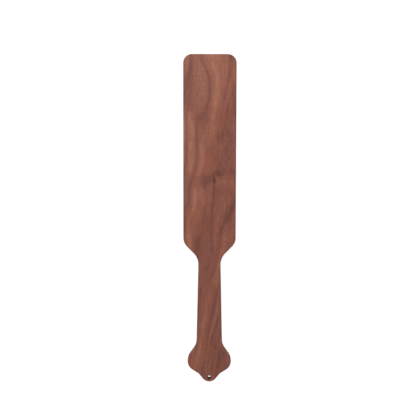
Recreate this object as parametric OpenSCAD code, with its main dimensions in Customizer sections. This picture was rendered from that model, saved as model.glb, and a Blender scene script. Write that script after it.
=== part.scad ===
// Slim walnut paddle board, cut in one piece: a long blade, sloping shoulders, a waisted grip
// and a rounded knob that ends in a small nose with a hanging hole.
// The blade points along +Y and the thickness along +Z. The board lies flat on z = 0, and the
// origin is in the middle of its length and width, on the underside.

/* [Blade] */
// Length of the whole board, from the blade's free end to the end of the nose
overall_l = 340; // [300:1:420]
// Width of the blade at its free end
blade_w = 55.6; // [44:0.1:80]
// Width of the blade where the shoulders start
blade_root_w = 54.3; // [40:0.1:80]
// Radius of the two corners at the blade's free end
blade_corner_r = 9.1; // [4:0.1:20]

/* [Shoulders] */
// Length over which the shoulders slope in from the blade to the neck
shoulder_l = 15.8; // [8:0.1:40]
// Radius where the blade's side turns into the shoulder
shoulder_r = 13; // [5:0.5:30]
// Radius in the hollow between the shoulder and the neck
neck_r = 16.5; // [5:0.5:30]

/* [Grip] */
// Length of the grip, from the neck to where the knob flares out
grip_l = 89.8; // [70:0.1:130]
// Width of the grip at the neck, its narrowest place
neck_w = 22.8; // [16:0.1:32]
// Width of the grip at its knob end
grip_end_w = 26.5; // [18:0.1:36]
// Radius in the hollow between the grip and the knob
grip_end_r = 15.9; // [5:0.1:30]

/* [Knob and nose] */
// Width of the knob at its widest place
knob_w = 44.9; // [38:0.1:56]
// Length over which the grip flares out to the knob
flare_l = 12.5; // [8:0.1:24]
// Length of the knob's side between its two corners
knob_side_l = 10.2; // [6:0.1:20]
// Radius of the knob's corner on the grip side
knob_upper_r = 13.7; // [5:0.1:24]
// Radius of the knob's corner on the nose side
knob_lower_r = 10.3; // [4:0.1:20]
// Length over which the knob slopes in to the nose
knob_slope_l = 7.2; // [4:0.1:14]
// Width at the root of the nose
nose_root_w = 22; // [19:0.1:30]
// Radius in the hollow at the root of the nose
nose_root_r = 3; // [1:0.1:8]
// Length of the nose from its root to its end
nose_l = 8.3; // [6:0.1:16]
// Radius of the nose's round end
nose_r = 8.6; // [5:0.1:9]

/* [Hanging hole] */
// Diameter of the hanging hole
hole_d = 3.7; // [2:0.1:5]
// Distance from the end of the nose to the middle of the hole
hole_inset = 4.6; // [4:0.1:8]
// Bevel that eases the hole's rim on both faces
hole_bevel = 0.2; // [0.1:0.1:0.8]

/* [Thickness and edges] */
// Thickness of the board
board_t = 11; // [8:0.5:20]
// Radius of the round-over that runs along both faces of the rim
edge_r = 2; // [0.5:0.1:4]

/* [Smoothness] */
// Largest turn between two facets of an arc, in degrees
facet_turn = 7.5; // [4:0.5:15]
// Facets across one round-over
edge_steps = 5; // [3:1:8]

/* [Hidden] */

walnut = [0.54, 0.35, 0.29];
// Facets that close the full circle of the hole
hole_fn = 64;
// How far a cutter runs past the face that it cuts
cut_past = 0.5;
// The most that two round-overs take of the thickness, and one of the tightest outer radius
round_share = 0.95;
// The most that the nose's radius takes of the half width at its root
nose_share = 0.9;

blade_end_y = overall_l / 2;
nose_end_y = -overall_l / 2;
nose_root_y = nose_end_y + nose_l;
knob_lower_y = nose_root_y + knob_slope_l;
knob_upper_y = knob_lower_y + knob_side_l;
grip_end_y = knob_upper_y + flare_l;
neck_y = grip_end_y + grip_l;
shoulder_y = neck_y + shoulder_l;
nose_fit_r = min(nose_r, nose_share * nose_root_w / 2);

// Where the slanted side of the nose would cross the middle line: the side starts at the root
// and touches the circle of the round end.
function nose_corner_y(root_x, root_y, mid_y, r) =
    let (reach = norm([root_x, mid_y - root_y]))
    let (aim = atan2(mid_y - root_y, -root_x) + asin(r / reach))
    root_y - tan(aim) * root_x;

// Corners of the right half of the outline, from the blade to the nose: x, y and fillet radius
corners = [
    [blade_w / 2, blade_end_y, blade_corner_r],
    [blade_root_w / 2, shoulder_y, shoulder_r],
    [neck_w / 2, neck_y, neck_r],
    [grip_end_w / 2, grip_end_y, grip_end_r],
    [knob_w / 2, knob_upper_y, knob_upper_r],
    [knob_w / 2, knob_lower_y, knob_lower_r],
    [nose_root_w / 2, nose_root_y, nose_root_r],
    [0, nose_corner_y(nose_root_w / 2, nose_root_y, nose_end_y + nose_fit_r, nose_fit_r), nose_fit_r]
];
last = len(corners) - 1;

// A corner by its number. Before the first and past the last come their mirror images.
function corner(i) =
    i < 0 ? [-corners[0].x, corners[0].y, corners[0][2]] :
    i > last ? [-corners[last - 1].x, corners[last - 1].y, corners[last - 1][2]] :
    corners[i];

// Length and heading of the side that leaves a corner
function side_l(i) = norm([corner(i + 1).x - corner(i).x, corner(i + 1).y - corner(i).y]);
function heading(i) = atan2(corner(i + 1).y - corner(i).y, corner(i + 1).x - corner(i).x);

// Turn of the outline at a corner, in degrees: below zero where the wood bulges out
function wrap(a) = a > 180 ? a - 360 : a < -180 ? a + 360 : a;
turns = [for (i = [0:last]) wrap(heading(i) - heading(i - 1))];

// Length that each fillet takes of both its sides, and the same where two of them share a side
wished = [for (i = [0:last]) corners[i][2] * tan(abs(turns[i]) / 2)];
function wish(i) = i < 0 ? wished[0] : i > last ? wished[last - 1] : wished[i];
function room(i) = min(1, side_l(i) / (wish(i) + wish(i + 1)));
taken = [for (i = [0:last]) wished[i] * min(room(i - 1), room(i))];
radii = [for (i = [0:last]) taken[i] / tan(abs(turns[i]) / 2)];
outer_radii = [for (i = [0:last]) if (turns[i] < 0) radii[i]];
edge_fit = min(edge_r, round_share * board_t / 2, round_share * min(outer_radii));

function along(a) = [cos(a), sin(a)];
function across(a) = [-sin(a), cos(a)];

// Points of one fillet, drawn in from the outline by an inset. The nose gives half of its arc.
function fillet(i, inset) =
    let (way = turns[i] < 0 ? -1 : 1)
    let (start = [corners[i].x, corners[i].y] - taken[i] * along(heading(i - 1)))
    let (middle = start + way * radii[i] * across(heading(i - 1)))
    let (sweep = i == last ? turns[i] / 2 : turns[i])
    let (steps = ceil(abs(sweep) / facet_turn))
    [for (k = [0:steps])
        let (a = heading(i - 1) + sweep * k / steps)
        middle - way * (radii[i] + way * inset) * across(a)];

// The right half of the outline, and the whole of it, clockwise from the blade's right corner
function right_side(inset) = [for (i = [0:last]) each fillet(i, inset)];
function outline(inset) =
    let (right = right_side(inset))
    let (n = len(right))
    concat(right, [for (k = [n - 2:-1:0]) [-right[k].x, right[k].y]]);

// Inset and height of each ring of the rim, from the underside to the top
function quarter(k) = 90 * k / edge_steps;
rim = concat(
    [for (k = [0:edge_steps]) edge_fit * [1 - sin(quarter(k)), 1 - cos(quarter(k))]],
    [for (k = [edge_steps:-1:0])
        [edge_fit * (1 - sin(quarter(k))), board_t - edge_fit * (1 - cos(quarter(k)))]]
);

// The solid board: rings of the outline up the rim, closed by strips across both faces
module rounded_board() {
    half_n = len(right_side(0));
    ring_n = 2 * half_n - 1;
    rings = len(rim);
    top = (rings - 1) * ring_n;
    points = [for (level = rim) for (p = outline(level[0])) [p.x, p.y, level[1]]];
    walls = [for (j = [0:rings - 2]) for (i = [0:ring_n - 1])
        let (next = (i + 1) % ring_n)
        [j * ring_n + i, j * ring_n + next, (j + 1) * ring_n + next, (j + 1) * ring_n + i]];
    // A strip joins two points of the right side to their mirror images
    strips = [for (k = [0:half_n - 3]) [k, k + 1, ring_n - 2 - k, ring_n - 1 - k]];
    end = [half_n - 2, half_n - 1, half_n];
    top_face = [for (s = concat(strips, [end])) [for (v = s) top + v]];
    underside = [for (s = concat(strips, [end])) [for (k = [len(s) - 1:-1:0]) s[k]]];
    polyhedron(points, concat(walls, top_face, underside));
}

// Cutter that eases the hole's rim: a cone from above the face down into the hole
module rim_bevel() {
    translate([0, 0, -hole_bevel - cut_past])
        cylinder(
            h = hole_bevel + 2 * cut_past,
            d1 = hole_d - 2 * cut_past,
            d2 = hole_d + 2 * (hole_bevel + cut_past),
            $fn = hole_fn
        );
}

module hanging_hole() {
    translate([0, nose_end_y + hole_inset, 0]) {
        translate([0, 0, -cut_past])
            cylinder(h = board_t + 2 * cut_past, d = hole_d, $fn = hole_fn);
        translate([0, 0, board_t])
            rim_bevel();
        mirror([0, 0, 1])
            rim_bevel();
    }
}

module paddle() {
    color(walnut)
        difference() {
            rounded_board();
            hanging_hole();
        }
}

paddle();
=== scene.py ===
"""Looks of a slim walnut paddle board, cut in one piece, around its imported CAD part.

The blade points along +Y and the board lies flat on z = 0. One piece stands for the whole board:
its outline is drawn and raised as a maker would, and its walnut is a solid figure that runs
through the thickness, so that the faces, sides and ends belong to the same plank.
"""
from math import asin, atan2, ceil, pi, radians, tan

import bpy
from bpy.props import FloatProperty, FloatVectorProperty, PointerProperty
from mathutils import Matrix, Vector


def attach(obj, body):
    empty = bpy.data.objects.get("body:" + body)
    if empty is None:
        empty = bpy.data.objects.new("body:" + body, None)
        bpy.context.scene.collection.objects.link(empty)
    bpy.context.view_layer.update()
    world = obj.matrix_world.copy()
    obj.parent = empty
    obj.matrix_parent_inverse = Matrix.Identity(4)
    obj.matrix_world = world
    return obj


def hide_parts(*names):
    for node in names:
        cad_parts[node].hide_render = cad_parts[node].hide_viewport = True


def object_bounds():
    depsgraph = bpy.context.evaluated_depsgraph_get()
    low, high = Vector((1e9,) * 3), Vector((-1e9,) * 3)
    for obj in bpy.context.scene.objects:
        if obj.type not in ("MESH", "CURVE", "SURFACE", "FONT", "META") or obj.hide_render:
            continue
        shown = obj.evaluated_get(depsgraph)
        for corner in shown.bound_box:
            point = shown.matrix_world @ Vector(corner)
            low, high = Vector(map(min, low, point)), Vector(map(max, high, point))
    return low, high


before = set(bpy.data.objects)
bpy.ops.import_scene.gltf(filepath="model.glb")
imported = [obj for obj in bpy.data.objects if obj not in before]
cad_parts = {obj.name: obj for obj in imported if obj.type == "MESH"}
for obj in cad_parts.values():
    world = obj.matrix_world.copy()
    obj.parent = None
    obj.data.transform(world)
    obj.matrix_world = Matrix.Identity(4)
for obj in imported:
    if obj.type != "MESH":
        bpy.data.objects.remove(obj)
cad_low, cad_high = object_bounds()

bl_info = {
    "name": "Walnut Paddle Board",
    "version": (1, 0, 0),
    "blender": (4, 5, 0),
    "location": "3D View > Sidebar > Paddle Board",
    "description": "Models a one-piece walnut paddle board and the plain stage it lies on",
    "category": "Add Mesh",
}

MM = 0.001
PADDLE = "paddle"

# Largest turn between two points of an arc
ARC_FACET = radians(3)
# Steps across the rim's round-over and across the hole's eased edge, both with a round profile
RIM_STEPS = 8
HOLE_EASE_STEPS = 4
ROUND_PROFILE = 0.5
# Sides of the drill that cuts the hanging hole
DRILL_SIDES = 64
# Faces that meet at less than this are shaded as one curve
SMOOTH_BEND = radians(35)
# How near a point counts as at the same height and as on the hole's rim
SAME_HEIGHT = 0.001 * MM
ON_RIM = 0.01 * MM
# How near two points count as one, across the mirror and along the outline
MIRROR_JOIN = 0.01 * MM
SAME_POINT = 0.05 * MM

# The stage: a floor this wide, this far under the board. It gives off most of its white itself, and
# the rest is lit, which is what shows the shadow.
FLOOR_SIDE = 8
FLOOR_DROP = 0.2 * MM
FLOOR_GLOW = 0.9
FLOOR_GREY = 0.2
LAMP_PLACE = Vector((-0.3, 0.55, 1.25))
LAMP_SIDE = 0.7
SENSOR_WIDTH = 36


def from_screen(red, green, blue):
    """A colour read off a screen, 0 to 255, as the linear colour that a shader takes."""
    shares = [channel / 255 for channel in (red, green, blue)]
    return [s / 12.92 if s <= 0.04045 else ((s + 0.055) / 1.055) ** 2.4 for s in shares]


def length_property(name, description, millimetres):
    """A length that a user may change, kept in metres."""
    return FloatProperty(
        name=name, description=description, default=millimetres * MM, min=0, unit="LENGTH"
    )


def colour_property(name, description, red, green, blue):
    """A colour that a user may change, given as it looks on a screen."""
    return FloatVectorProperty(
        name=name, description=description, default=from_screen(red, green, blue),
        min=0, max=1, subtype="COLOR",
    )


class PaddleSizes(bpy.types.PropertyGroup):
    """Sizes of the board. Its length and thickness come from the CAD part."""

    length: length_property("Length", "Whole board", (cad_high.y - cad_low.y) / MM)
    thickness: length_property("Thickness", "Whole board", (cad_high.z - cad_low.z) / MM)
    blade_width: length_property("Blade width", "At the blade's free end", 55.6)
    blade_root_width: length_property("Blade root width", "Where the shoulders start", 54.3)
    blade_corner: length_property("Blade corner", "Radius at the free end", 9.1)
    shoulder_length: length_property("Shoulders", "From the blade down to the neck", 15.8)
    shoulder_radius: length_property("Shoulder radius", "Blade's side into the shoulder", 13)
    neck_radius: length_property("Neck radius", "Hollow between shoulder and grip", 16.5)
    grip_length: length_property("Grip", "From the neck to the knob's flare", 89.8)
    neck_width: length_property("Neck width", "The grip's narrowest place", 22.8)
    grip_end_width: length_property("Grip end width", "The grip beside the knob", 26.5)
    grip_end_radius: length_property("Grip end radius", "Hollow between grip and knob", 15.9)
    flare: length_property("Flare", "Length over which the grip widens to the knob", 12.5)
    knob_width: length_property("Knob width", "The knob at its widest", 44.9)
    knob_side: length_property("Knob side", "Between the knob's two corners", 10.2)
    knob_upper: length_property("Knob upper radius", "Corner on the grip side", 13.7)
    knob_lower: length_property("Knob lower radius", "Corner on the nose side", 10.3)
    knob_slope: length_property("Knob slope", "Length over which it slopes to the nose", 7.2)
    nose_root_width: length_property("Nose root width", "The nose where it starts", 22)
    nose_root: length_property("Nose root radius", "Hollow at the root of the nose", 3)
    nose_length: length_property("Nose", "From its root to its end", 8.3)
    nose_radius: length_property("Nose radius", "The nose's round end", 8.6)
    hole: length_property("Hole", "Diameter of the hanging hole", 3.7)
    hole_inset: length_property("Hole inset", "From the nose's end to the hole's middle", 4.6)
    hole_ease: length_property("Hole ease", "Softened rim of the hole", 0.2)
    rim: length_property("Rim", "Round-over along both faces", 2)


class WalnutColours(bpy.types.PropertyGroup):
    """Colours of the oiled walnut, each in a warm and a cool strain that mix in streaks."""

    warm_pale: colour_property("Warm pale", "Lightest bands", 163, 105, 81)
    warm_plain: colour_property("Warm plain", "Ground colour", 135, 80, 62)
    warm_dark: colour_property("Warm dark", "Growth lines", 109, 61, 47)
    cool_pale: colour_property("Cool pale", "Lightest bands", 158, 106, 88)
    cool_plain: colour_property("Cool plain", "Ground colour", 129, 80, 69)
    cool_dark: colour_property("Cool dark", "Growth lines", 104, 60, 52)
    pore: colour_property("Pore", "Open pores", 78, 46, 38)
    # Painted shade: the hole's wall is painted near black, where little light gets in
    painted_bore_shade: colour_property("Bore", "Wall of the hanging hole", 26, 13, 10)
    contrast: FloatProperty(name="Contrast", description="How strongly the figure shows", default=0.66)


class StudioLook(bpy.types.PropertyGroup):
    """The camera, which looks straight down, and the light."""

    camera_height: length_property("Camera height", "Above the board's underside", 800)
    camera_x: FloatProperty(
        name="Camera X", description="To the right of the board's middle", default=-1.63 * MM,
        unit="LENGTH",
    )
    camera_y: FloatProperty(
        name="Camera Y", description="From the board's middle towards the blade",
        default=10.06 * MM, unit="LENGTH",
    )
    camera_turn: FloatProperty(
        name="Camera turn", description="About its own line of sight", default=radians(0.134),
        unit="ROTATION",
    )
    half_view: FloatProperty(
        name="Half view", description="Half the width in view over the distance", default=0.27316
    )
    sky: FloatProperty(name="Sky", description="Light from all round", default=0.62)
    lamp: FloatProperty(name="Lamp", description="Light of the lamp on a flat face", default=0.43)


class Value:
    """A shader value that takes + - * / and **: each sign adds its Math node."""

    def __init__(self, nodes, socket):
        self.nodes = nodes
        self.socket = socket

    def math(self, operation, *others):
        """What a Math node makes of this value and the others."""
        values = dict(enumerate((self, *others)))
        return self.nodes.get("ShaderNodeMath", {"operation": operation}, values)

    def __add__(self, other):
        return self.math("ADD", other)

    def __sub__(self, other):
        return self.math("SUBTRACT", other)

    def __rsub__(self, other):
        return self.math("MULTIPLY", -1) + other

    def __mul__(self, other):
        return self.math("MULTIPLY", other)

    def __truediv__(self, other):
        return self.math("DIVIDE", other)

    def __pow__(self, other):
        return self.math("POWER", other)

    def __neg__(self):
        return self.math("MULTIPLY", -1)

    __radd__ = __add__
    __rmul__ = __mul__


class Nodes:
    """Adds nodes to a material or a world: settings first, then values or links of sockets."""

    def __init__(self, tree):
        self.tree = tree
        self.tree.nodes.clear()

    def add(self, kind, settings=None, sockets=None):
        """Adds a node. Points are the stops of a Float Curve, and other settings are its own."""
        node = self.tree.nodes.new(kind)
        for name, setting in (settings or {}).items():
            if name == "points":
                self.bend(node.mapping, setting)
            else:
                setattr(node, name, setting)
        for name, value in (sockets or {}).items():
            if isinstance(value, Value):
                self.tree.links.new(value.socket, node.inputs[name])
            else:
                node.inputs[name].default_value = value
        return node

    def get(self, kind, settings=None, sockets=None, output=0):
        """Adds a node and gives one of its outputs."""
        return Value(self, self.add(kind, settings, sockets).outputs[output])

    def bend(self, mapping, points):
        """Shapes a Float Curve through its points, both ways from 0 to 1."""
        curve = mapping.curves[0]
        for place, point in zip(curve.points, (points[0], points[-1])):
            place.location = point
        for point in points[1:-1]:
            curve.points.new(*point)
        for point in curve.points:
            point.handle_type = "AUTO_CLAMPED"
        mapping.update()

    def ease(self, value, low, high, top=1.0):
        """Smooth step from 0 at low to the top at high. It holds both past its ends by itself."""
        return self.get(
            "ShaderNodeMapRange", {"interpolation_type": "SMOOTHSTEP", "clamp": False},
            {"Value": value, "From Min": low, "From Max": high, "To Max": top},
        )

    def ramp(self, value, low, high, bottom=0.0, top=1.0):
        """Straight ramp from bottom at low to top at high, held level past both."""
        return self.get(
            "ShaderNodeMapRange", {},
            {"Value": value, "From Min": low, "From Max": high, "To Min": bottom, "To Max": top},
        )

    def vector(self, x, y, z):
        """A place made of three values."""
        return self.get("ShaderNodeCombineXYZ", {}, {"X": x, "Y": y, "Z": z})

    def noise(self, place, detail=2.0, roughness=0.5):
        """Soft noise round zero, about -0.5 to 0.5, one unit of place to a swell."""
        sockets = {"Vector": place, "Scale": 1.0, "Detail": detail, "Roughness": roughness}
        return self.get("ShaderNodeTexNoise", {}, sockets) - 0.5

    def blend(self, factor, first, second, clamped=True, way="MIX"):
        """The second colour over the first. Past 1 it goes on beyond the second, if not clamped."""
        return self.get(
            "ShaderNodeMix", {"data_type": "RGBA", "clamp_factor": clamped, "blend_type": way},
            {0: factor, 6: paint(first), 7: paint(second)}, output=2,
        )


def paint(colour):
    """A colour as a socket takes it: a link, or four numbers."""
    return colour if isinstance(colour, Value) else (*colour[:3], 1.0)


def select_nothing():
    if bpy.context.mode != "OBJECT":
        bpy.ops.object.mode_set(mode="OBJECT")
    bpy.ops.object.select_all(action="DESELECT")


def select_edges(piece, wanted):
    """In edit mode, selects the edges whose two ends both pass the test, and nothing else."""
    bpy.ops.mesh.select_mode(type="EDGE")
    bpy.ops.mesh.select_all(action="DESELECT")
    bpy.ops.object.mode_set(mode="OBJECT")
    mesh = piece.data
    for edge in mesh.edges:
        edge.select = all(wanted(mesh.vertices[i].co) for i in edge.vertices)
    bpy.ops.object.mode_set(mode="EDIT")


def outline_corners(s):
    """Corners of the outline's right half, from the blade to the nose: place and fillet radius."""
    end = s.length / 2
    nose_root = -end + s.nose_length
    knob_lower = nose_root + s.knob_slope
    knob_upper = knob_lower + s.knob_side
    grip_end = knob_upper + s.flare
    neck = grip_end + s.grip_length
    shoulder = neck + s.shoulder_length
    # The nose's slanted side starts at its root and touches the circle of its round end
    root = Vector((s.nose_root_width / 2, nose_root))
    middle = Vector((0, -end + s.nose_radius))
    aim = atan2(middle.y - root.y, -root.x) + asin(s.nose_radius / (middle - root).length)
    tip = root.y - tan(aim) * root.x
    return [
        (Vector((s.blade_width / 2, end)), s.blade_corner),
        (Vector((s.blade_root_width / 2, shoulder)), s.shoulder_radius),
        (Vector((s.neck_width / 2, neck)), s.neck_radius),
        (Vector((s.grip_end_width / 2, grip_end)), s.grip_end_radius),
        (Vector((s.knob_width / 2, knob_upper)), s.knob_upper),
        (Vector((s.knob_width / 2, knob_lower)), s.knob_lower),
        (root, s.nose_root),
        (Vector((0, tip)), s.nose_radius),
    ]


def draw_half_outline(corners):
    """Draws the right half of the outline in edit mode, from the blade's middle to the nose's:
    straight runs, and an arc spun at each corner. The nose gives half of its arc."""
    first = corners[0][0]
    here = Vector((0, first.y))
    bpy.ops.mesh.primitive_plane_add(size=2 * MM, enter_editmode=True)
    bpy.ops.mesh.merge(type="CENTER")
    bpy.ops.transform.translate(value=(here.x, here.y, 0))
    places = [Vector((-first.x, first.y))] + [place for place, radius in corners]
    places.append(Vector((-corners[-2][0].x, corners[-2][0].y)))
    for i, (corner, radius) in enumerate(corners):
        inward = (corner - places[i]).normalized()
        outward = (places[i + 2] - corner).normalized()
        turn = inward.angle_signed(outward)
        reach = radius * tan(abs(turn) / 2)
        start = corner - reach * inward
        run = start - here
        bpy.ops.mesh.extrude_vertices_move(TRANSFORM_OT_translate={"value": (run.x, run.y, 0)})
        # angle_signed counts a clockwise turn as positive, and so does spin
        side = 1 if turn > 0 else -1
        centre = start + side * radius * Vector((inward.y, -inward.x))
        sweep = turn / 2 if i == len(corners) - 1 else turn
        bpy.ops.mesh.spin(
            steps=ceil(abs(sweep) / ARC_FACET), angle=sweep, center=(*centre, 0), axis=(0, 0, 1)
        )
        here = corner + reach * outward
    # Two arcs that all but meet are joined, or the rim's bevel would turn the bit between inside out
    bpy.ops.mesh.select_all(action="SELECT")
    bpy.ops.mesh.remove_doubles(threshold=SAME_POINT)


class PADDLE_OT_board(bpy.types.Operator):
    """Model the board: outline, thickness, rounded rim and hanging hole, in walnut"""

    bl_idname = "paddle.board"
    bl_label = "Paddle"

    def execute(self, context):
        s = context.scene.paddle_sizes
        top = s.thickness
        select_nothing()
        draw_half_outline(outline_corners(s))
        board = context.object
        board.name = board.data.name = "walnut_board"
        bpy.ops.object.mode_set(mode="OBJECT")

        mirror = board.modifiers.new("Other half", "MIRROR")
        mirror.merge_threshold = MIRROR_JOIN
        bpy.ops.object.modifier_apply(modifier=mirror.name)

        bpy.ops.object.mode_set(mode="EDIT")
        bpy.ops.mesh.select_all(action="SELECT")
        bpy.ops.mesh.edge_face_add()
        bpy.ops.mesh.extrude_region_move(TRANSFORM_OT_translate={"value": (0, 0, top)})
        bpy.ops.mesh.select_all(action="SELECT")
        bpy.ops.mesh.normals_make_consistent(inside=False)

        for level in (0, top):
            select_edges(board, lambda co: abs(co.z - level) < SAME_HEIGHT)
            bpy.ops.mesh.bevel(
                offset=s.rim, segments=RIM_STEPS, profile=ROUND_PROFILE, clamp_overlap=False
            )
        bpy.ops.object.mode_set(mode="OBJECT")

        hole_y = -s.length / 2 + s.hole_inset
        self.drill(context, board, hole_y, s)
        bpy.ops.object.mode_set(mode="EDIT")
        for level in (0, top):
            def on_hole_rim(co):
                from_rim = (co.xy - Vector((0, hole_y))).length - s.hole / 2
                return abs(co.z - level) < SAME_HEIGHT and abs(from_rim) < ON_RIM
            select_edges(board, on_hole_rim)
            bpy.ops.mesh.bevel(
                offset=s.hole_ease, segments=HOLE_EASE_STEPS, profile=ROUND_PROFILE,
                clamp_overlap=False,
            )
        bpy.ops.mesh.select_all(action="SELECT")
        bpy.ops.mesh.normals_make_consistent(inside=False)
        bpy.ops.object.mode_set(mode="OBJECT")

        bpy.ops.object.shade_smooth_by_angle(angle=SMOOTH_BEND)
        soften = board.modifiers.new("Flat faces stay flat", "WEIGHTED_NORMAL")
        soften.keep_sharp = True
        bpy.ops.object.modifier_apply(modifier=soften.name)

        board.data.materials.append(oiled_walnut(context.scene.walnut_colours, s))
        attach(board, "root")
        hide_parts(PADDLE)
        return {"FINISHED"}

    def drill(self, context, board, hole_y, s):
        """Cuts the hanging hole with a drill that goes right through."""
        select_nothing()
        bpy.ops.mesh.primitive_cylinder_add(
            vertices=DRILL_SIDES, radius=s.hole / 2, depth=2 * s.thickness,
            location=(0, hole_y, s.thickness / 2),
        )
        drill = context.object
        select_nothing()
        context.view_layer.objects.active = board
        board.select_set(True)
        cut = board.modifiers.new("Hole", "BOOLEAN")
        cut.operation = "DIFFERENCE"
        cut.solver = "EXACT"
        cut.object = drill
        bpy.ops.object.modifier_apply(modifier=cut.name)
        bpy.data.objects.remove(drill)


# The figure of the plank's top face, read in mm: y runs from the nose to the blade's end, and x
# to the right of the middle. A growth line is a path with how strongly it shows on the way.
# Strength times the contrast says how far the wood goes from its ground colour, where 1 is the
# pale or the dark colour.
FIGURE_LOW = -172
FIGURE_HIGH = 172
# Half the height of the curves that hold the paths, in mm, and the strengths of the lines
PATH_REACH = 70
LINE_SPAN = 1.2

PATHS = {
    "left leg": [
        (172, -19.4), (160, -19.8), (155, -20.3), (148, -22.2), (141, -24.2), (135, -25.2), (128, -27),
        (100, -31), (50, -35), (0, -37), (-100, -46), (-172, -50),
    ],
    "arch": [
        (172, -9.8), (163, -8), (158, -5.8), (153, -3.2), (148, -1.3), (142, -0.3), (135, 0), (128, 0),
        (122, -0.8), (116, -2.6), (110, -4.5), (106, -8), (102, -12), (98, -13.6), (88, -13.6),
        (74, -13.2), (62, -14), (52, -15), (43, -17.5), (35, -19.8), (27, -20.8), (20, -21.3),
        (14, -22.5), (10, -25), (4, -27.5), (-20, -31), (-60, -36), (-172, -48),
    ],
    "right leg": [
        (172, 20), (160, 20.4), (150, 20), (145, 19.3), (140, 18.2), (135, 17), (130, 15.8),
        (126, 15.5), (115, 13.4), (100, 10.5), (90, 8.6), (80, 8.3), (70, 9), (60, 8.6), (52, 7.5),
        (44, 4.6), (36, 4.8), (25, 4.3), (17, 4.4), (10, 3.2), (0, 2.4), (-10, 1.5), (-20, 1.5),
        (-30, 3), (-38, 3.2), (-45, 1.2), (-54, -2.6), (-60, -4.5), (-68, -6), (-76, -9), (-100, -11.5),
        (-130, -16), (-172, -25),
    ],
    "knot arm": [
        (172, 27), (150, 24), (130, 22), (118, 19.2), (110, 18.4), (100, 17), (95, 15.6), (90, 13),
        (84, 13), (78, 14.5), (70, 14), (60, 12.3), (52, 10.3), (46, 7.8), (42, 7), (36, 7.5),
        (10, 8.5), (0, 7.5), (-15, 6), (-30, 5.6), (-45, 4), (-57, 0.5), (-80, -6), (-100, -9.6),
        (-130, -14.5), (-172, -21),
    ],
    "diagonal": [
        (172, 38), (60, 30), (28, 25.8), (18, 25.4), (10, 23.6), (5, 21.8), (0, 19), (-4, 16.6),
        (-9, 13.4), (-15, 12), (-22, 11), (-28, 10.3), (-35, 9.3), (-43, 7.5), (-50, 6), (-57, 4),
        (-63, 2), (-75, -2.5), (-88, -5.8), (-100, -8), (-112, -10), (-130, -13), (-172, -19),
    ],
    "pale river": [
        (172, 44), (60, 38), (20, 30), (5, 26), (-5, 22), (-12, 17), (-20, 15.5), (-28, 14.5),
        (-35, 13.4), (-42, 11.4), (-48, 10.2), (-55, 9.6), (-62, 8.7), (-68, 6.8), (-76, 2), (-82, -1),
        (-88, -2.8), (-95, -3.6), (-100, -4), (-105, -4.9), (-111, -6.2), (-117, -6.5), (-123, -8.5),
        (-130, -9.5), (-137, -10.2), (-143, -11.5), (-150, -13.4), (-157, -14.8), (-172, -17),
    ],
    "grip line": [
        (172, 50), (0, 34), (-20, 24), (-40, 17), (-56, 11.5), (-66, 10.4), (-75, 7.7), (-82, 6.4),
        (-88, 5.3), (-95, 4), (-101, 3.2), (-107, 1.5), (-112, 0.4), (-118, -0.8), (-125, -1.5),
        (-132, -2.2), (-140, -3.6), (-148, -5), (-155, -6.7), (-162, -7.2), (-172, -8.5),
    ],
    "knob line": [
        (172, 56), (0, 42), (-40, 25), (-75, 14.5), (-90, 11.5), (-100, 9.4), (-105, 8.7), (-110, 7.7),
        (-115, 6), (-120, 4.4), (-126, 2.3), (-132, 1.3), (-138, 0.8), (-150, 0), (-172, -1),
    ],
    "knob side line": [
        (172, 62), (-40, 32), (-90, 19), (-120, 13), (-135, 11.5), (-143, 10.6), (-150, 9.6),
        (-157, 8.2), (-172, 6.5),
    ],
}

# Paths that lead the fine grain, from left to right, with the plank's own measure across the
# grain at each
FLOW = [
    ("left leg", -34), ("arch", -16), ("right leg", 6), ("knot arm", 12), ("diagonal", 18),
    ("pale river", 23), ("grip line", 29), ("knob line", 35), ("knob side line", 43),
]

# Paths of the bands and short lines between those
PATHS.update({
    "pale band": [
        (172, 2.5), (160, 2.8), (155, 4), (150, 6), (145, 7.5), (138, 7.3), (128, 6.4), (120, 6),
        (115, 5.4), (109, 4.2), (104, 3.3), (98, 2.8), (91, 3), (85, 2), (78, 0), (60, -6),
    ],
    "inner pale band": [
        (95, -4), (88, -4), (80, -7.5), (75, -9), (68, -8), (60, -7.8), (54, -9), (48, -10.4),
        (42, -12), (30, -14),
    ],
    "lower pale band": [
        (38, -15), (28, -15.2), (22, -15.2), (16, -15.6), (10, -16), (5, -17), (0, -20.5), (-6, -21.8),
        (-15, -21.5), (-24, -21.3), (-34, -20.5),
    ],
    "left pale band": [
        (115, -21.5), (106, -21), (101, -20), (96, -19), (88, -18), (82, -18.1), (76, -19.3),
        (60, -19.4), (42, -20.4),
    ],
    "pale edge": [(112, -26.6), (70, -26.6)],
    "thin line": [(114, -24), (80, -24.3), (60, -24.6), (50, -25.6), (36, -27)],
    "right fork": [
        (150, 21.2), (145, 22.2), (140, 23.4), (135, 24), (126, 24.2), (120, 25.4), (114, 26.8),
        (100, 27),
    ],
    "fork's twin": [(84, 21), (75, 19), (69, 17.2), (62, 17.5), (54, 17.5)],
    "short line": [(28, -3.4), (15, -3.8), (8, -5), (0, -5.8), (-8, -6.8), (-18, -8.2), (-30, -9)],
    "pale strip": [(10, 9), (-5, 8), (-12, 7), (-20, 6.4), (-34, 6)],
    "left grip band": [
        (-45, -7.4), (-55, -7), (-62, -6.6), (-72, -6.4), (-86, -7.2), (-97, -7.5), (-120, -9),
    ],
    "right grip band": [
        (-76, 8.3), (-88, 8.4), (-96, 8.4), (-100, 7), (-104, 6), (-108, 4.4), (-112, 3.3), (-117, 2.2),
        (-123, 0.4), (-128, 0), (-135, -1.3), (-142, -2.3), (-152, -3.4),
    ],
    "left edge": [(160, -27.3), (-60, -27.1)],
    "left grip edge": [(-80, -11.8), (-130, -12.6)],
    "knob left line": [(-136, -18), (-141, -18.6), (-150, -19.8), (-156, -20)],
    "knob middle line": [(-144, 4), (-152, 3.6), (-164, 3)],
})

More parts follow.
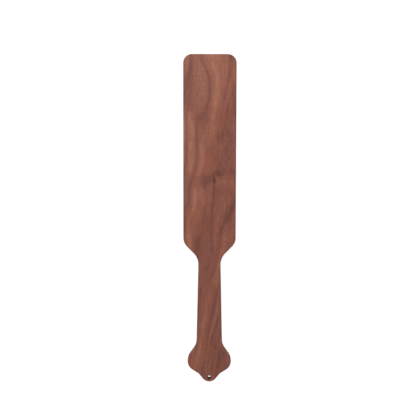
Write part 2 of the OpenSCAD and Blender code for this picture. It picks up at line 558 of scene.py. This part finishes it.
# Growth lines and bands: how strongly each shows along its path, and how far it fades out to the
# left and to the right
LINES = [
    ("left leg", [
        (172, -0.85), (160, -1.05), (154, -1.15), (148, -0.95), (140, -0.85), (134, -0.6), (128, -0.7),
        (118, -0.45), (108, -0.1), (100, 0),
    ], 3.2, 4.2),
    ("arch", [
        (172, -0.5), (163, -0.85), (155, -0.85), (145, -0.95), (135, -0.85), (122, -0.95), (114, -0.85),
        (107, -0.25), (98, -0.5), (90, -0.85), (80, -0.85), (68, -0.8), (56, -0.65), (43, -0.7),
        (34, -0.9), (25, -0.6), (14, -0.75), (4, -0.4), (-10, 0),
    ], 2.8, 3),
    ("right leg", [
        (172, -0.1), (158, -0.2), (150, -0.75), (144, -0.8), (138, -0.5), (132, -0.55), (127, -0.95),
        (122, -0.6), (116, -0.2), (94, -0.2), (87, -0.5), (80, -0.7), (74, -0.55), (66, -0.45),
        (58, -0.3), (50, -0.2), (34, -0.9), (25, -1), (19, -0.85), (13, -0.5), (5, -0.7), (0, -0.85),
        (-6, -0.55), (-14, -0.3), (-28, -0.3), (-34, -0.6), (-40, -0.3), (-50, -0.2), (-62, -0.1),
        (-70, -0.3), (-80, -0.3), (-96, -0.2),
    ], 2.4, 2.4),
    ("knot arm", [
        (130, 0), (120, -0.3), (113, -0.6), (107, -0.3), (100, -0.35), (94, -0.3), (88, -0.5),
        (82, -0.5), (76, -0.3), (70, -0.5), (60, -0.65), (54, -0.75), (49, -0.5), (42, 0),
    ], 2.4, 2.4),
    ("diagonal", [
        (40, -0.2), (24, -0.5), (14, -0.6), (9, -0.8), (4, -0.5), (0, -0.5), (-8, -0.7), (-13, -0.9),
        (-18, -0.65), (-25, -0.4), (-33, -0.55), (-48, -0.5), (-60, -0.6), (-68, -0.25), (-75, 0),
    ], 4.4, 3.6),
    ("pale river", [
        (-8, 0), (-14, 0.2), (-20, 0.8), (-28, 0.6), (-35, 1), (-41, 0.5), (-48, 0.95), (-55, 0.75),
        (-64, 0.4), (-74, 0.3), (-82, 0.4), (-92, 0.6), (-104, 0.8), (-110, 0.95), (-116, 0.6),
        (-124, 0.5), (-140, 0.6), (-157, 0.5),
    ], 3.4, 3.4),
    ("grip line", [
        (-60, 0), (-70, -0.4), (-80, -0.9), (-87, -0.9), (-91, -0.7), (-97, -1), (-103, -0.75),
        (-109, -0.5), (-114, -0.55), (-119, -0.75), (-128, -0.6), (-138, -0.5), (-145, -0.3),
        (-152, -0.75), (-165, -0.65),
    ], 2.2, 2.2),
    ("knob line", [
        (-94, -0.1), (-103, -0.7), (-109, -1), (-119, -0.6), (-126, -0.8), (-136, -0.7), (-143, -0.25),
        (-160, -0.2),
    ], 2, 2),
    ("knob side line", [
        (-125, 0), (-134, -0.3), (-143, -0.5), (-150, -0.5), (-157, -0.65), (-168, -0.5),
    ], 2.4, 2.4),
    ("pale band", [
        (172, 0.6), (165, 0.6), (156, 0.95), (150, 0.7), (144, 0.95), (138, 0.85), (132, 0.7),
        (127, 0.75), (120, 1.1), (115, 0.9), (110, 0.55), (104, 0.7), (98, 0.55), (91, 0.7), (86, 0.4),
        (80, 0.2), (70, 0),
    ], 4, 4.4),
    ("inner pale band", [
        (95, 0), (88, 0.2), (80, 0.3), (75, 0.75), (64, 0.9), (52, 0.85), (47, 0.8), (43, 0.3), (38, 0),
    ], 4, 4.4),
    ("lower pale band", [
        (36, 0), (31, 0.4), (28, 0.9), (22, 1.2), (17, 0.9), (12, 0.85), (8, 0.75), (4, 0.35), (0, 0.4),
        (-6, 0.6), (-15, 0.7), (-24, 1.05), (-29, 0.7), (-34, 0.4),
    ], 4.4, 4),
    ("left pale band", [
        (114, 0.1), (111, 0.4), (106, 0.9), (101, 0.95), (96, 0.8), (88, 0.75), (82, 0.55), (76, 0.9),
        (70, 0.7), (64, 0.45), (58, 0.75), (53, 0.75), (47, 0.5), (40, 0),
    ], 5, 4.4),
    ("pale edge", [(110, 0), (104, 0.8), (84, 0.9), (78, 0.4), (70, 0)], 2, 2),
    ("thin line", [
        (110, 0), (101, -0.4), (80, -0.5), (70, -0.7), (60, -0.6), (50, -0.4), (38, 0),
    ], 2.2, 2.2),
    ("right fork", [
        (150, -0.3), (146, -0.6), (140, -0.5), (135, -0.7), (129, -0.85), (120, -0.6), (114, -0.8),
        (100, 0),
    ], 2.6, 3),
    ("fork's twin", [(84, 0), (76, -0.5), (69, -0.6), (62, -0.3), (58, -0.5), (54, 0)], 2.4, 2.4),
    ("short line", [
        (26, 0), (15, -0.35), (8, -0.5), (2, -0.65), (-4, -0.65), (-12, -0.45), (-20, -0.35), (-30, 0),
    ], 2.2, 2.2),
    ("pale strip", [(10, 0), (4, 0.25), (-12, 0.35), (-20, 0.4), (-28, 0.3), (-34, 0)], 2.6, 2.6),
    ("left grip band", [
        (-47, 0), (-55, 0.25), (-62, 0.35), (-70, 0.15), (-80, 0.15), (-88, 0.3), (-104, 0.35),
        (-120, 0),
    ], 1.5, 1.5),
    ("right grip band", [
        (-78, 0), (-88, 0.45), (-96, 0.55), (-100, 0.5), (-104, 0.8), (-112, 0.7), (-117, 0.7),
        (-123, 0.6), (-128, 0.45), (-142, 0.45), (-147, 0.5), (-152, 0),
    ], 2, 2),
    ("left edge", [
        (152, 0), (144, -0.7), (136, -0.4), (128, -0.6), (118, -0.6), (108, -0.3), (100, 0), (52, 0),
        (42, -0.8), (30, -0.8), (20, -0.4), (8, -1), (0, -1.5), (-12, -1), (-22, -0.2),
    ], 2, 2),
    ("left grip edge", [(-82, 0), (-88, -0.8), (-100, -1), (-116, -0.8), (-124, 0)], 1.6, 1.6),
    ("knob left line", [(-138, 0), (-144, -0.6), (-149, -0.5), (-156, 0)], 1.6, 1.6),
    ("knob middle line", [(-146, 0), (-152, -0.5), (-158, -0.5), (-164, 0)], 1.6, 1.6),
]

# Soft patches: middle, reach to the side and lengthways, and strength
PATCHES = [
    # The blade's free end and its upper part
    (-21, 142, 6.5, 14, -0.5), (-19, 158, 4, 12, -0.35), (-21.5, 124, 6.5, 20, -0.6),
    (-19, 135, 5, 12, -0.45), (-27, 128, 2.5, 6, -0.9), (22.5, 166, 4.4, 8, -1), (24, 157, 3, 9, -0.3),
    (-25, 167, 3.6, 5, -0.45), (-9.5, 150, 8, 26, 0.2), (-14, 158, 2.6, 8, -0.3),
    (-7.5, 136, 3.4, 8, 0.35), (8, 156, 3, 9, 0.35), (0, 168, 7, 7, 0.5), (16.7, 166, 2.2, 7, 0.35),
    (12.5, 139, 3, 8, 0.25), (10.5, 110, 2.4, 7, -0.3), (3.4, 126, 2.4, 9, 0.3),
    (27, 122, 2.4, 5, -0.6), (9.5, 167, 2.6, 9, 0.5), (14, 153, 4, 10, 0.2), (-6.5, 129, 3.6, 7, 0.45),
    (9.8, 129, 2.6, 7, 0.6), (13, 148, 9, 26, 0.2), (10.5, 121, 2.2, 8, 0.3),
    # The middle of the blade
    (-8.5, 103, 9.5, 12, -0.85), (-4, 113, 6, 10, -0.4), (-3, 104, 4, 8, -0.4),
    (-13.5, 106, 3, 5, -0.4), (18.5, 112, 5, 9, -0.45), (15.5, 102, 12, 14, -0.45),
    (24.5, 113, 5, 15, -0.6), (17, 90, 10, 13, -0.5), (13, 85, 6, 9, -0.5), (23, 82, 5, 10, -0.45),
    (9, 85, 4, 8, -0.6), (11.5, 79, 3, 7, -0.55), (20.5, 103, 3, 8, -0.4), (23.4, 96, 3.6, 7, -0.45),
    (-8, 84, 3.4, 8, 0.2), (18, 89, 2.4, 6, -0.5), (22.5, 66, 3, 7, -0.3), (20, 70, 10, 24, -0.35),
    (-20, 92, 9, 22, 0.25), (26.6, 116, 3.4, 14, -0.4), (23.5, 47, 4.6, 9, -0.55), (3, 70, 7, 9, -0.55),
    (14.5, 49, 3, 5, -0.35), (5.5, 49, 3, 4, -0.4), (26, 46, 3, 5, -0.5), (12, 33, 4, 5, -0.25),
    (6, 60, 6, 10, -0.45), (13, 55, 5.5, 8, -0.5), (19, 50, 6, 8, -0.4),
    # The knot and the wood round it
    (4.3, 43.5, 3, 5.5, -0.9), (4.9, 38.5, 2.6, 5, -1.7), (2.6, 43.5, 3.6, 4.6, -0.6),
    (8.2, 46.5, 4.4, 6, -1.2), (10.5, 44, 7, 4.2, -1.1), (12, 48, 7, 6.5, -0.5), (1, 38, 4.4, 6, -0.8),
    (-5, 36.5, 6.5, 9.5, -1.05), (-2, 42, 7, 5.5, -0.6), (-7, 43, 5, 5, -0.3), (17, 36, 12, 5.6, 0.3),
    (24, 33, 5, 11, 0.2), (10, 27.5, 8, 6.5, -0.5), (19.8, 27, 3.4, 6, -0.35),
    (-23, 33, 2.8, 10, -0.35),
    # From the knot to the shoulders
    (-10.5, 25, 4.5, 14, 0.5), (-12, 6, 4, 12, 0.45), (-7, 22, 7.5, 15, 0.35), (0, 19, 3.2, 11, 0.4),
    (2, 12, 4, 7, -0.4), (15.6, 12, 2.4, 11, 0.4), (12.5, 20, 3.4, 8, 0.25), (18.5, -1, 8, 9, -0.9),
    (18.5, 5, 4.4, 10, -0.55), (4.6, 4, 2.6, 8, -0.35), (5.4, 13, 1.8, 6, -0.4), (1, 15, 1.8, 4, -0.3),
    (19, 13, 3.4, 6, -0.35), (22, 2, 3, 7, -0.4), (-16, 3, 2.4, 8, 0.3), (-11, -6, 3, 8, -0.35),
    (9, -15, 2.6, 9, 0.3), (22.5, 10, 4.4, 9, -0.8), (26.8, 15, 2.4, 9, -0.8),
    (24.6, -3, 3.4, 10, 0.35), (24, -14, 4, 13, 0.3), (21, -22, 5, 11, 0.35), (-2, -2, 6.5, 11, -0.55),
    (-2, -13, 4, 9, -0.4), (-6.6, -19, 1.8, 7, -0.35), (-2.6, -17, 1.6, 8, 0.35),
    (0, -20, 15, 30, -0.35), (-11.5, -13, 4, 11, -0.45), (-11.8, -24.5, 5.4, 9.5, -0.95),
    (-13.7, -33.5, 3.6, 6.5, -0.8), (-14.5, -26, 3.6, 10, -0.4), (-9.4, -33, 2.4, 7, -0.45),
    # The grip, from the neck to where the knob flares out
    (-12, -39, 3.4, 6, -0.8), (-0.6, -47.5, 2.8, 5.5, -0.45), (-2.9, -53.5, 3.2, 5.5, -0.55),
    (-6.8, -54, 4, 12, -0.25), (10.6, -57, 2.2, 6, -0.5), (7, -60, 3.4, 7, 0.3),
    (4.5, -64.5, 3.8, 6.5, 0.45), (8.3, -67, 3.2, 7, 0.4), (-0.5, -74, 2, 7, 0.3),
    (8, -72, 2.2, 6, 0.35), (10.9, -71.5, 1.4, 3, -0.8), (-8.8, -76, 3, 6.5, -0.6),
    (-5.4, -84, 1.8, 7, -0.3), (-8.5, -84, 2.8, 7, -0.35), (0.8, -84, 3.2, 13, 0.3),
    (-2.4, -106, 2.2, 9, 0.35), (-9.4, -112, 1.8, 12, 0.3), (8.6, -103, 1.4, 5, 0.4),
    (11.8, -121, 2.4, 6, -0.8), (-5, -125, 2.8, 13, 0.35),
    # The end of the grip, the knob and the nose
    (11.7, -130, 2.2, 7.5, 0.6), (2, -125, 2, 4, -0.35), (9, -126, 2, 5, -0.35),
    (-12.5, -137, 2.4, 5, 0.35), (6.1, -133, 3.2, 7.5, -0.8), (10.5, -144, 3.8, 8.5, -0.45),
    (15, -141, 3, 9, -0.5), (12.5, -146, 9.5, 17, -0.35), (4, -143, 2.8, 8, -0.5),
    (8.5, -153, 4, 8, -0.35), (-13.5, -134.5, 2.2, 7.5, -0.4), (-8, -138, 5.5, 17, 0.4),
    (-16, -145, 6, 13, 0.3), (-12, -150, 10, 14, 0.25), (19, -143, 4.8, 11, 0.4),
    (-17.9, -152, 2.2, 6.5, 0.3), (-17, -137, 3.4, 5, 0.5), (6.3, -149.5, 2.4, 6.5, 0.5),
    (-1.2, -156.5, 2, 7.5, 0.45), (3.9, -165, 2, 4.5, 0.4),
    # Longer and weaker ones, all over the board
    (-21, 128, 8, 46, -0.3), (-27.5, 140, 5, 34, -0.3), (-24, 108, 3, 10, -0.3),
    (-18, 100, 5, 14, -0.25), (-27.5, 70, 4, 26, 0.4), (-16, 60, 9, 24, 0.3),
    (-27.5, -6, 4.4, 26, -0.5), (-10, -36, 10, 20, -0.25), (8, -46, 8, 44, 0.25),
    (-9.5, -72, 5, 36, -0.2), (6, 167, 3.4, 7, 0.35), (27.5, 114, 3.4, 12, 0.3),
    (26.5, 29, 3.6, 9, 0.4), (7, 28, 12, 20, -0.25), (14.5, 27, 5, 12, -0.25), (19, 0, 3.4, 6, 0.35),
    (4, -163, 6, 7, -0.35), (-15.5, -151, 5, 10, -0.2), (18, -155, 5, 7, -0.25),
    (26.5, 2, 2.6, 12, 0.25), (-26, -6, 3, 20, -0.3), (-26.5, 38, 2.6, 9, -0.3),
    (-17.5, 150, 3, 9, -0.35), (-1, 30, 4, 24, -0.2), (-2, -42, 4, 9, -0.2), (-2, 77, 4, 9, 0.25),
    (2, -66, 3.6, 9, 0.2), (18.5, -33, 5, 7, 0.25), (24, 142, 4, 9, 0.2), (8, 166, 4, 7, 0.2),
]

# Soft patches where the wood is cooler, or warmer where the strength is below zero
COOL_PATCHES = [
    (-21, 155, 5, 22, 0.4), (22, 76, 7, 14, 0.35), (19, 58, 7, 16, 0.4), (12, 103, 8, 20, -0.5),
    (5, 40, 14, 6, 0.3), (3, 14, 4, 22, 0.3), (20, 4, 6, 14, 0.4), (2, -32, 6, 26, 0.35),
    (-2, -50, 9, 12, 0.4), (-17, 4, 5, 12, -0.3), (5, -68, 6, 9, -0.3), (17, -150, 5, 12, 0.25),
    (-25, 76, 10, 66, 0.14), (-25, 142, 8, 28, 0.12), (-11, 156, 9, 20, 0.08), (-3, 130, 11, 20, 0.08),
    (19, 132, 10, 28, -0.08), (5, 102, 10, 24, -0.11), (-1, 62, 13, 38, -0.12), (22, 67, 6, 10, -0.1),
    (22, 94, 7, 15, 0.08), (17, 46, 12, 9, 0.08), (-8, -9, 9, 16, -0.1), (22, -4, 8, 22, -0.07),
    (-26, 8, 6, 32, 0.07), (-2, -65, 13, 16, 0.1), (10, -125, 11, 48, 0.1), (-8, -130, 13, 46, 0.07),
    (-21.5, 84, 5, 24, 0.15), (-14, 158, 9, 12, 0.13), (22, 88, 8, 18, 0.1), (21, 66, 5, 7, -0.16),
    (14, 50, 9, 9, 0.1), (25.5, 46, 5, 14, 0.12), (1, 41, 7, 9, -0.15), (4, 32, 6, 8, -0.08),
    (-5, -60, 7, 12, 0.16), (-10, -106, 5, 16, 0.12), (7, -136, 8, 14, -0.11), (-9, -11, 8, 12, -0.1),
    (-22, 70, 5, 13, 0.1), (21, 66, 5, 7, -0.15), (4, 46, 6, 6, -0.12), (4, 88, 11, 18, -0.08),
    (-6, 140, 10, 13, 0.09), (-10, 155, 6, 9, 0.1), (10, 25, 5, 8, -0.12), (21, -24, 6, 11, -0.1),
    (-5, -3, 6, 8, -0.1), (4, -133, 6, 8, -0.08), (-3, -42, 6, 9, 0.09), (-16, 140, 6, 12, 0.06),
]

# Soft patches where the wood is redder, or browner where the strength is below zero
RED_PATCHES = [
    (18, 118, 12, 26, 0.6), (13, 102, 8, 13, 0.5), (4, 100, 6, 18, 0.55), (22, 80, 9, 16, 0.9),
    (18, 58, 10, 15, 0.6), (1, 61, 10, 20, 0.75), (-6, 44, 6, 11, 0.5), (22, 6, 9, 26, 0.85),
    (-18, -8, 8, 10, 0.7), (4, -10, 15, 14, 0.6), (25, -18, 6, 13, 0.7), (0, -50, 7, 14, 0.75),
    (-12, 24, 7, 11, 0.5), (-23, 110, 8, 24, -0.6), (-23, 86, 7, 15, -0.4), (-20, 55, 10, 26, -0.95),
    (-23, 26, 7, 24, -0.5), (-12, 126, 10, 18, -0.6), (3, 134, 8, 16, -0.6), (2, 158, 9, 14, -0.35),
    (4, -67, 8, 11, -0.8), (9, -108, 9, 28, -1.2), (-3, -104, 7, 22, -0.35), (10, -142, 11, 22, -1),
    (-4, -148, 9, 20, -0.9), (-13, -146, 7, 14, -0.3),
]
# What one full red patch does to the colour
REDDER = (1.03, 0.965, 0.965)

# The ground between the lines: its tone along the board, paler towards the blade's end, which is
# partly the wood's own tone and partly painted light; and how much it darkens with each mm to the
# right, which is painted shade, as if lit from the left
GROUND_TONE_AND_PAINTED_LIGHT = [(172, 0.5), (100, 0.1), (0, -0.25), (-80, -0.4), (-172, -0.5)]
PAINTED_SHADE_TO_RIGHT = 0.006
# How far the figure shifts across and along the board with each mm of depth
LEAN_ACROSS = 0.55
LEAN_ALONG = 1.2
# How much the lines wander to the side and lengthways, in mm, and how much the fine streaks fray
# the edges of the patches
WANDER_ASIDE = 0.8
WANDER_ALONG = 2
FRAY = 2.4
# How strongly the streaks and the mottle show in the tone
COARSE_SHOWS = 0.5
FINE_SHOWS = 1.45
MOTTLE_SHOWS = 1.15
# Growth lines are this much cooler than the wood between them, and all of it is a little warm
COOL_LINES = 0.07
WARM_GROUND = 0.06
# From the warm strain to the cool one is this far either way
HUE_REACH = 0.35
# Open pores start at this height of their streaks, are full at this, and darken the wood this much
PORE_START = 0.14
PORE_FULL = 0.28
PORE_DARK = 0.5
# The painted shade on the bore's wall is full this far past the wall and gone at this, in mm
BORE_SHADE_FULL = 0.02
BORE_SHADE_GONE = 0.1


def figure_value(nodes, along, points, half):
    """A number that follows the board's length through given points. Half of the curve's height
    stands for half, and a stop may lie a little past it."""
    span = FIGURE_HIGH - FIGURE_LOW
    whole = [(FIGURE_LOW, points[-1][1])] * (points[-1][0] > FIGURE_LOW)
    whole += [*reversed(points)] + [(FIGURE_HIGH, points[0][1])] * (points[0][0] < FIGURE_HIGH)
    bent = [((y - FIGURE_LOW) / span, 0.5 + value / (2 * half)) for y, value in whole]
    curve = nodes.get("ShaderNodeFloatCurve", {"points": bent}, {"Value": along})
    return (curve - 0.5) * (2 * half)


def sum_of_patches(nodes, place, patches):
    """All the patches of a list, added up."""
    total = soft_patch(nodes, place, *patches[0])
    for patch in patches[1:]:
        total = total + soft_patch(nodes, place, *patch)
    return total


def soft_patch(nodes, place, x, y, aside, lengthways, strength):
    """An oval patch in the figure, full at its middle and gone at its edge."""
    share = nodes.get(
        "ShaderNodeVectorMath", {"operation": "MULTIPLY_ADD"},
        {0: place, 1: (1 / aside, 1 / lengthways, 0), 2: (-x / aside, -y / lengthways, 0)},
    )
    away = nodes.get("ShaderNodeVectorMath", {"operation": "LENGTH"}, {0: share}, output=1)
    return nodes.ease(away, 1, 0, strength)


def streaks(nodes, grain, count, length, shift=0, detail=2, roughness=0.5):
    """Soft streaks that follow the grain: this many to a mm across it, each about this many mm long.
    A shift in depth keeps one kind of streak apart from another."""
    across, y, depth = grain
    place = nodes.vector(across * count, y / length, depth * count + shift)
    return nodes.noise(place, detail, roughness)


def oiled_walnut(colours, s):
    """Oiled walnut, as a solid figure of growth lines that lean through the thickness."""
    material = bpy.data.materials.new("Oiled walnut")
    material.use_nodes = True
    nodes = Nodes(material.node_tree)

    place = nodes.get("ShaderNodeTexCoord", output=3)
    in_mm = nodes.get("ShaderNodeVectorMath", {"operation": "SCALE"}, {"Vector": place, "Scale": 1 / MM})
    axes = nodes.add("ShaderNodeSeparateXYZ", {}, {"Vector": in_mm})
    x, y, z = (Value(nodes, socket) for socket in axes.outputs)
    depth = s.thickness / MM - z

    # The growth lines wander a little, and lean through the thickness
    wander = nodes.noise(nodes.vector(x / 14, y / 26, z / 14), 3)
    lean_x = x + depth * LEAN_ACROSS + wander * WANDER_ASIDE
    stretch = nodes.noise(nodes.vector(x / 9, y / 9, z / 9 + 7), 2)
    lean_y = y + depth * LEAN_ALONG + stretch * WANDER_ALONG
    along = nodes.ramp(lean_y, FIGURE_LOW, FIGURE_HIGH)
    paths = {}
    for name, points in PATHS.items():
        paths[name] = figure_value(nodes, along, points, PATH_REACH)

    # Measure across the grain, which follows the growth lines round the knot
    first, first_measure = FLOW[0]
    across = (lean_x - paths[first]).math("MINIMUM", 0) + first_measure
    for (left, low), (right, high) in zip(FLOW, FLOW[1:]):
        across = across + nodes.ramp(lean_x, paths[left], paths[right], 0, high - low)
    last = FLOW[-1][0]
    across = across + (lean_x - paths[last]).math("MAXIMUM", 0)

    # Streaks between the growth lines, coarse and fine
    grain = (across, y, depth)
    coarse = streaks(nodes, grain, 0.33, 46)
    fine = streaks(nodes, grain, 1.1, 20, detail=3, roughness=0.6)
    mottle = streaks(nodes, grain, 0.9, 2.6)

    # The ground's tone, partly painted light along the board, and painted shade that darkens it to the
    # right
    figure = figure_value(nodes, along, GROUND_TONE_AND_PAINTED_LIGHT, 1)
    figure = figure - lean_x * PAINTED_SHADE_TO_RIGHT
    for name, strength, left, right in LINES:
        aside = lean_x - paths[name]
        shape = nodes.ease(aside, -left, 0) * nodes.ease(aside, right, 0)
        figure = figure + shape * figure_value(nodes, along, strength, LINE_SPAN)
    ragged = nodes.vector(lean_x + fine * FRAY, lean_y, 0)
    figure = figure + sum_of_patches(nodes, ragged, PATCHES)
    tone = figure * colours.contrast + coarse * COARSE_SHOWS + fine * FINE_SHOWS
    tone = tone + mottle * MOTTLE_SHOWS

    hue = streaks(nodes, grain, 0.5, 30, shift=20) - figure * COOL_LINES - WARM_GROUND
    hue = hue + sum_of_patches(nodes, ragged, COOL_PATCHES)
    strain = nodes.ease(hue, -HUE_REACH, HUE_REACH)
    warm = shade(nodes, tone, colours.warm_dark, colours.warm_plain, colours.warm_pale)
    cool = shade(nodes, tone, colours.cool_dark, colours.cool_plain, colours.cool_pale)
    colour = nodes.blend(strain, warm, cool)
    ruddy = streaks(nodes, grain, 0.7, 24, shift=40) + sum_of_patches(nodes, ragged, RED_PATCHES)
    colour = nodes.blend(ruddy, colour, REDDER, clamped=False, way="MULTIPLY")

    # Only the peaks of these streaks are open pores
    pores = nodes.ease(streaks(nodes, grain, 3, 7, detail=1), PORE_START, PORE_FULL)
    colour = nodes.blend(pores * PORE_DARK, colour, colours.pore)
    # The bore's wall is painted near black: painted shade, where little light gets into the hole

    # The bore is dark from the drill and the oil that soaks into its end grain
    hole_y = (-s.length / 2 + s.hole_inset) / MM
    from_axis = (x * x + (y - hole_y) * (y - hole_y)) ** 0.5
    wall = s.hole / MM / 2
    painted_bore_shade = nodes.ease(from_axis, wall + BORE_SHADE_GONE, wall + BORE_SHADE_FULL)
    colour = nodes.blend(painted_bore_shade, colour, colours.painted_bore_shade)

    # A thin satin oil: rougher in the pores and in the bore, where the oil sinks in
    rough = 0.5 + fine * 0.1 + pores * 0.2 + painted_bore_shade * 0.3
    height = fine * 0.4 - pores
    bump = nodes.get("ShaderNodeBump", {}, {"Strength": 0.3, "Distance": 0.05 * MM, "Height": height})
    wood = nodes.add(
        "ShaderNodeBsdfPrincipled", {},
        {"Base Color": colour, "Roughness": rough, "Normal": bump, "Specular IOR Level": 0.15},
    )
    nodes.add("ShaderNodeOutputMaterial", {}, {"Surface": Value(nodes, wood.outputs[0])})
    return material


def shade(nodes, tone, dark, plain, pale):
    """Colour of the wood at a tone: dark at -1, plain at 0, pale at 1."""
    darker = nodes.blend((-tone).math("MAXIMUM", 0), plain, dark, clamped=False)
    return nodes.blend(tone.math("MAXIMUM", 0), darker, pale, clamped=False)


class PADDLE_OT_stage(bpy.types.Operator):
    """Set up the white floor, the soft light and the camera that looks straight down"""

    bl_idname = "paddle.stage"
    bl_label = "Stage"

    def execute(self, context):
        look = context.scene.studio_look
        select_nothing()
        self.lay_floor()
        self.light(context, look)
        self.aim_camera(context, look)
        context.scene.view_settings.view_transform = "Standard"
        return {"FINISHED"}

    def lay_floor(self):
        """A wide white floor just under the board, which takes its shadow. It isn't there from
        below, and light on its way to the board passes through it, so that the underside and the
        sides are lit as if the board hung in the open."""
        bpy.ops.mesh.primitive_plane_add(size=FLOOR_SIDE, location=(0, 0, -FLOOR_DROP))
        floor = bpy.context.object
        floor.name = "floor"
        material = bpy.data.materials.new("White floor")
        material.use_nodes = True
        nodes = Nodes(material.node_tree)
        grey = (FLOOR_GREY, FLOOR_GREY, FLOOR_GREY, 1)
        white = nodes.get("ShaderNodeEmission", {}, {"Color": (1, 1, 1, 1), "Strength": FLOOR_GLOW})
        nothing = nodes.get("ShaderNodeEmission", {}, {"Color": (0, 0, 0, 1), "Strength": 0})
        glow = nodes.get("ShaderNodeMixShader", {}, {0: seen_directly(nodes), 1: nothing, 2: white})
        lit = nodes.get("ShaderNodeBsdfDiffuse", {}, {"Color": grey})
        from_above = nodes.get("ShaderNodeAddShader", {}, {0: glow, 1: lit})
        clear = nodes.get("ShaderNodeBsdfTransparent")
        backs = nodes.get("ShaderNodeNewGeometry", output="Backfacing")
        passes = backs.math("MAXIMUM", ray_is(nodes, "Diffuse", "Shadow"))
        surface = nodes.get("ShaderNodeMixShader", {}, {0: passes, 1: from_above, 2: clear})
        nodes.add("ShaderNodeOutputMaterial", {}, {"Surface": surface})
        floor.data.materials.append(material)

    def light(self, context, look):
        """Even light from all round, and one large soft lamp from the upper left."""
        world = bpy.data.worlds.new("Studio")
        context.scene.world = world
        world.use_nodes = True
        nodes = Nodes(world.node_tree)
        grey = nodes.get("ShaderNodeBackground", {}, {"Color": (1, 1, 1, 1), "Strength": look.sky})
        white = nodes.get("ShaderNodeBackground", {}, {"Color": (1, 1, 1, 1), "Strength": 1.0})
        both = nodes.get("ShaderNodeMixShader", {}, {0: seen_directly(nodes), 1: grey, 2: white})
        nodes.add("ShaderNodeOutputWorld", {}, {"Surface": both})

        bpy.ops.object.light_add(type="AREA", location=LAMP_PLACE)
        lamp = context.object
        lamp.name = "soft_lamp"
        lamp.rotation_euler = LAMP_PLACE.to_track_quat("Z", "Y").to_euler()
        lamp.data.shape = "SQUARE"
        lamp.data.size = LAMP_SIDE
        # So that the light on a flat face doesn't depend on where the lamp hangs
        slant = LAMP_PLACE.z / LAMP_PLACE.length
        lamp.data.energy = look.lamp * pi ** 2 * LAMP_PLACE.length_squared / slant

    def aim_camera(self, context, look):
        """A camera that looks straight down near the board's middle, turned as the photograph is."""
        bpy.ops.object.camera_add(
            location=(look.camera_x, look.camera_y, look.camera_height),
            rotation=(0, 0, look.camera_turn),
        )
        camera = context.object
        camera.data.sensor_width = SENSOR_WIDTH
        camera.data.lens = camera.data.sensor_width / 2 / look.half_view
        context.scene.camera = camera


def seen_directly(nodes):
    """1 for a ray from the camera, off a gloss or through glass, which is to see plain white."""
    return ray_is(nodes, "Camera", "Glossy", "Transmission")


def ray_is(nodes, *kinds):
    """1 for a ray of one of these kinds, and 0 for any other."""
    path = nodes.add("ShaderNodeLightPath")
    first, *others = [Value(nodes, path.outputs[f"Is {kind} Ray"]) for kind in kinds]
    for other in others:
        first = first.math("MAXIMUM", other)
    return first


class PADDLE_PT_panel(bpy.types.Panel):
    """Lists the board's operators and sizes in the sidebar"""

    bl_label = "Walnut Paddle Board"
    bl_idname = "PADDLE_PT_panel"
    bl_space_type = "VIEW_3D"
    bl_region_type = "UI"
    bl_category = "Paddle Board"

    def draw(self, context):
        """One button for each operator, and a box for each group of settings"""
        for operator in OPERATORS:
            self.layout.operator(operator.bl_idname)
        for name in GROUPS:
            box = self.layout.box()
            group = getattr(context.scene, name)
            for prop in group.bl_rna.properties:
                if prop.identifier not in ("rna_type", "name"):
                    box.prop(group, prop.identifier)


OPERATORS = (PADDLE_OT_board, PADDLE_OT_stage)
GROUPS = {"paddle_sizes": PaddleSizes, "walnut_colours": WalnutColours, "studio_look": StudioLook}
CLASSES = (*GROUPS.values(), *OPERATORS, PADDLE_PT_panel)


def register():
    """Makes the operators, the panel and the scene's settings known."""
    for cls in CLASSES:
        bpy.utils.register_class(cls)
    for name, group in GROUPS.items():
        setattr(bpy.types.Scene, name, PointerProperty(type=group))


def unregister():
    """Takes back all that register made known."""
    for name in GROUPS:
        delattr(bpy.types.Scene, name)
    for cls in reversed(CLASSES):
        bpy.utils.unregister_class(cls)


def main():
    """Makes the board and its stage."""
    register()
    bpy.ops.paddle.board()
    bpy.ops.paddle.stage()


if __name__ == "__main__":
    main()
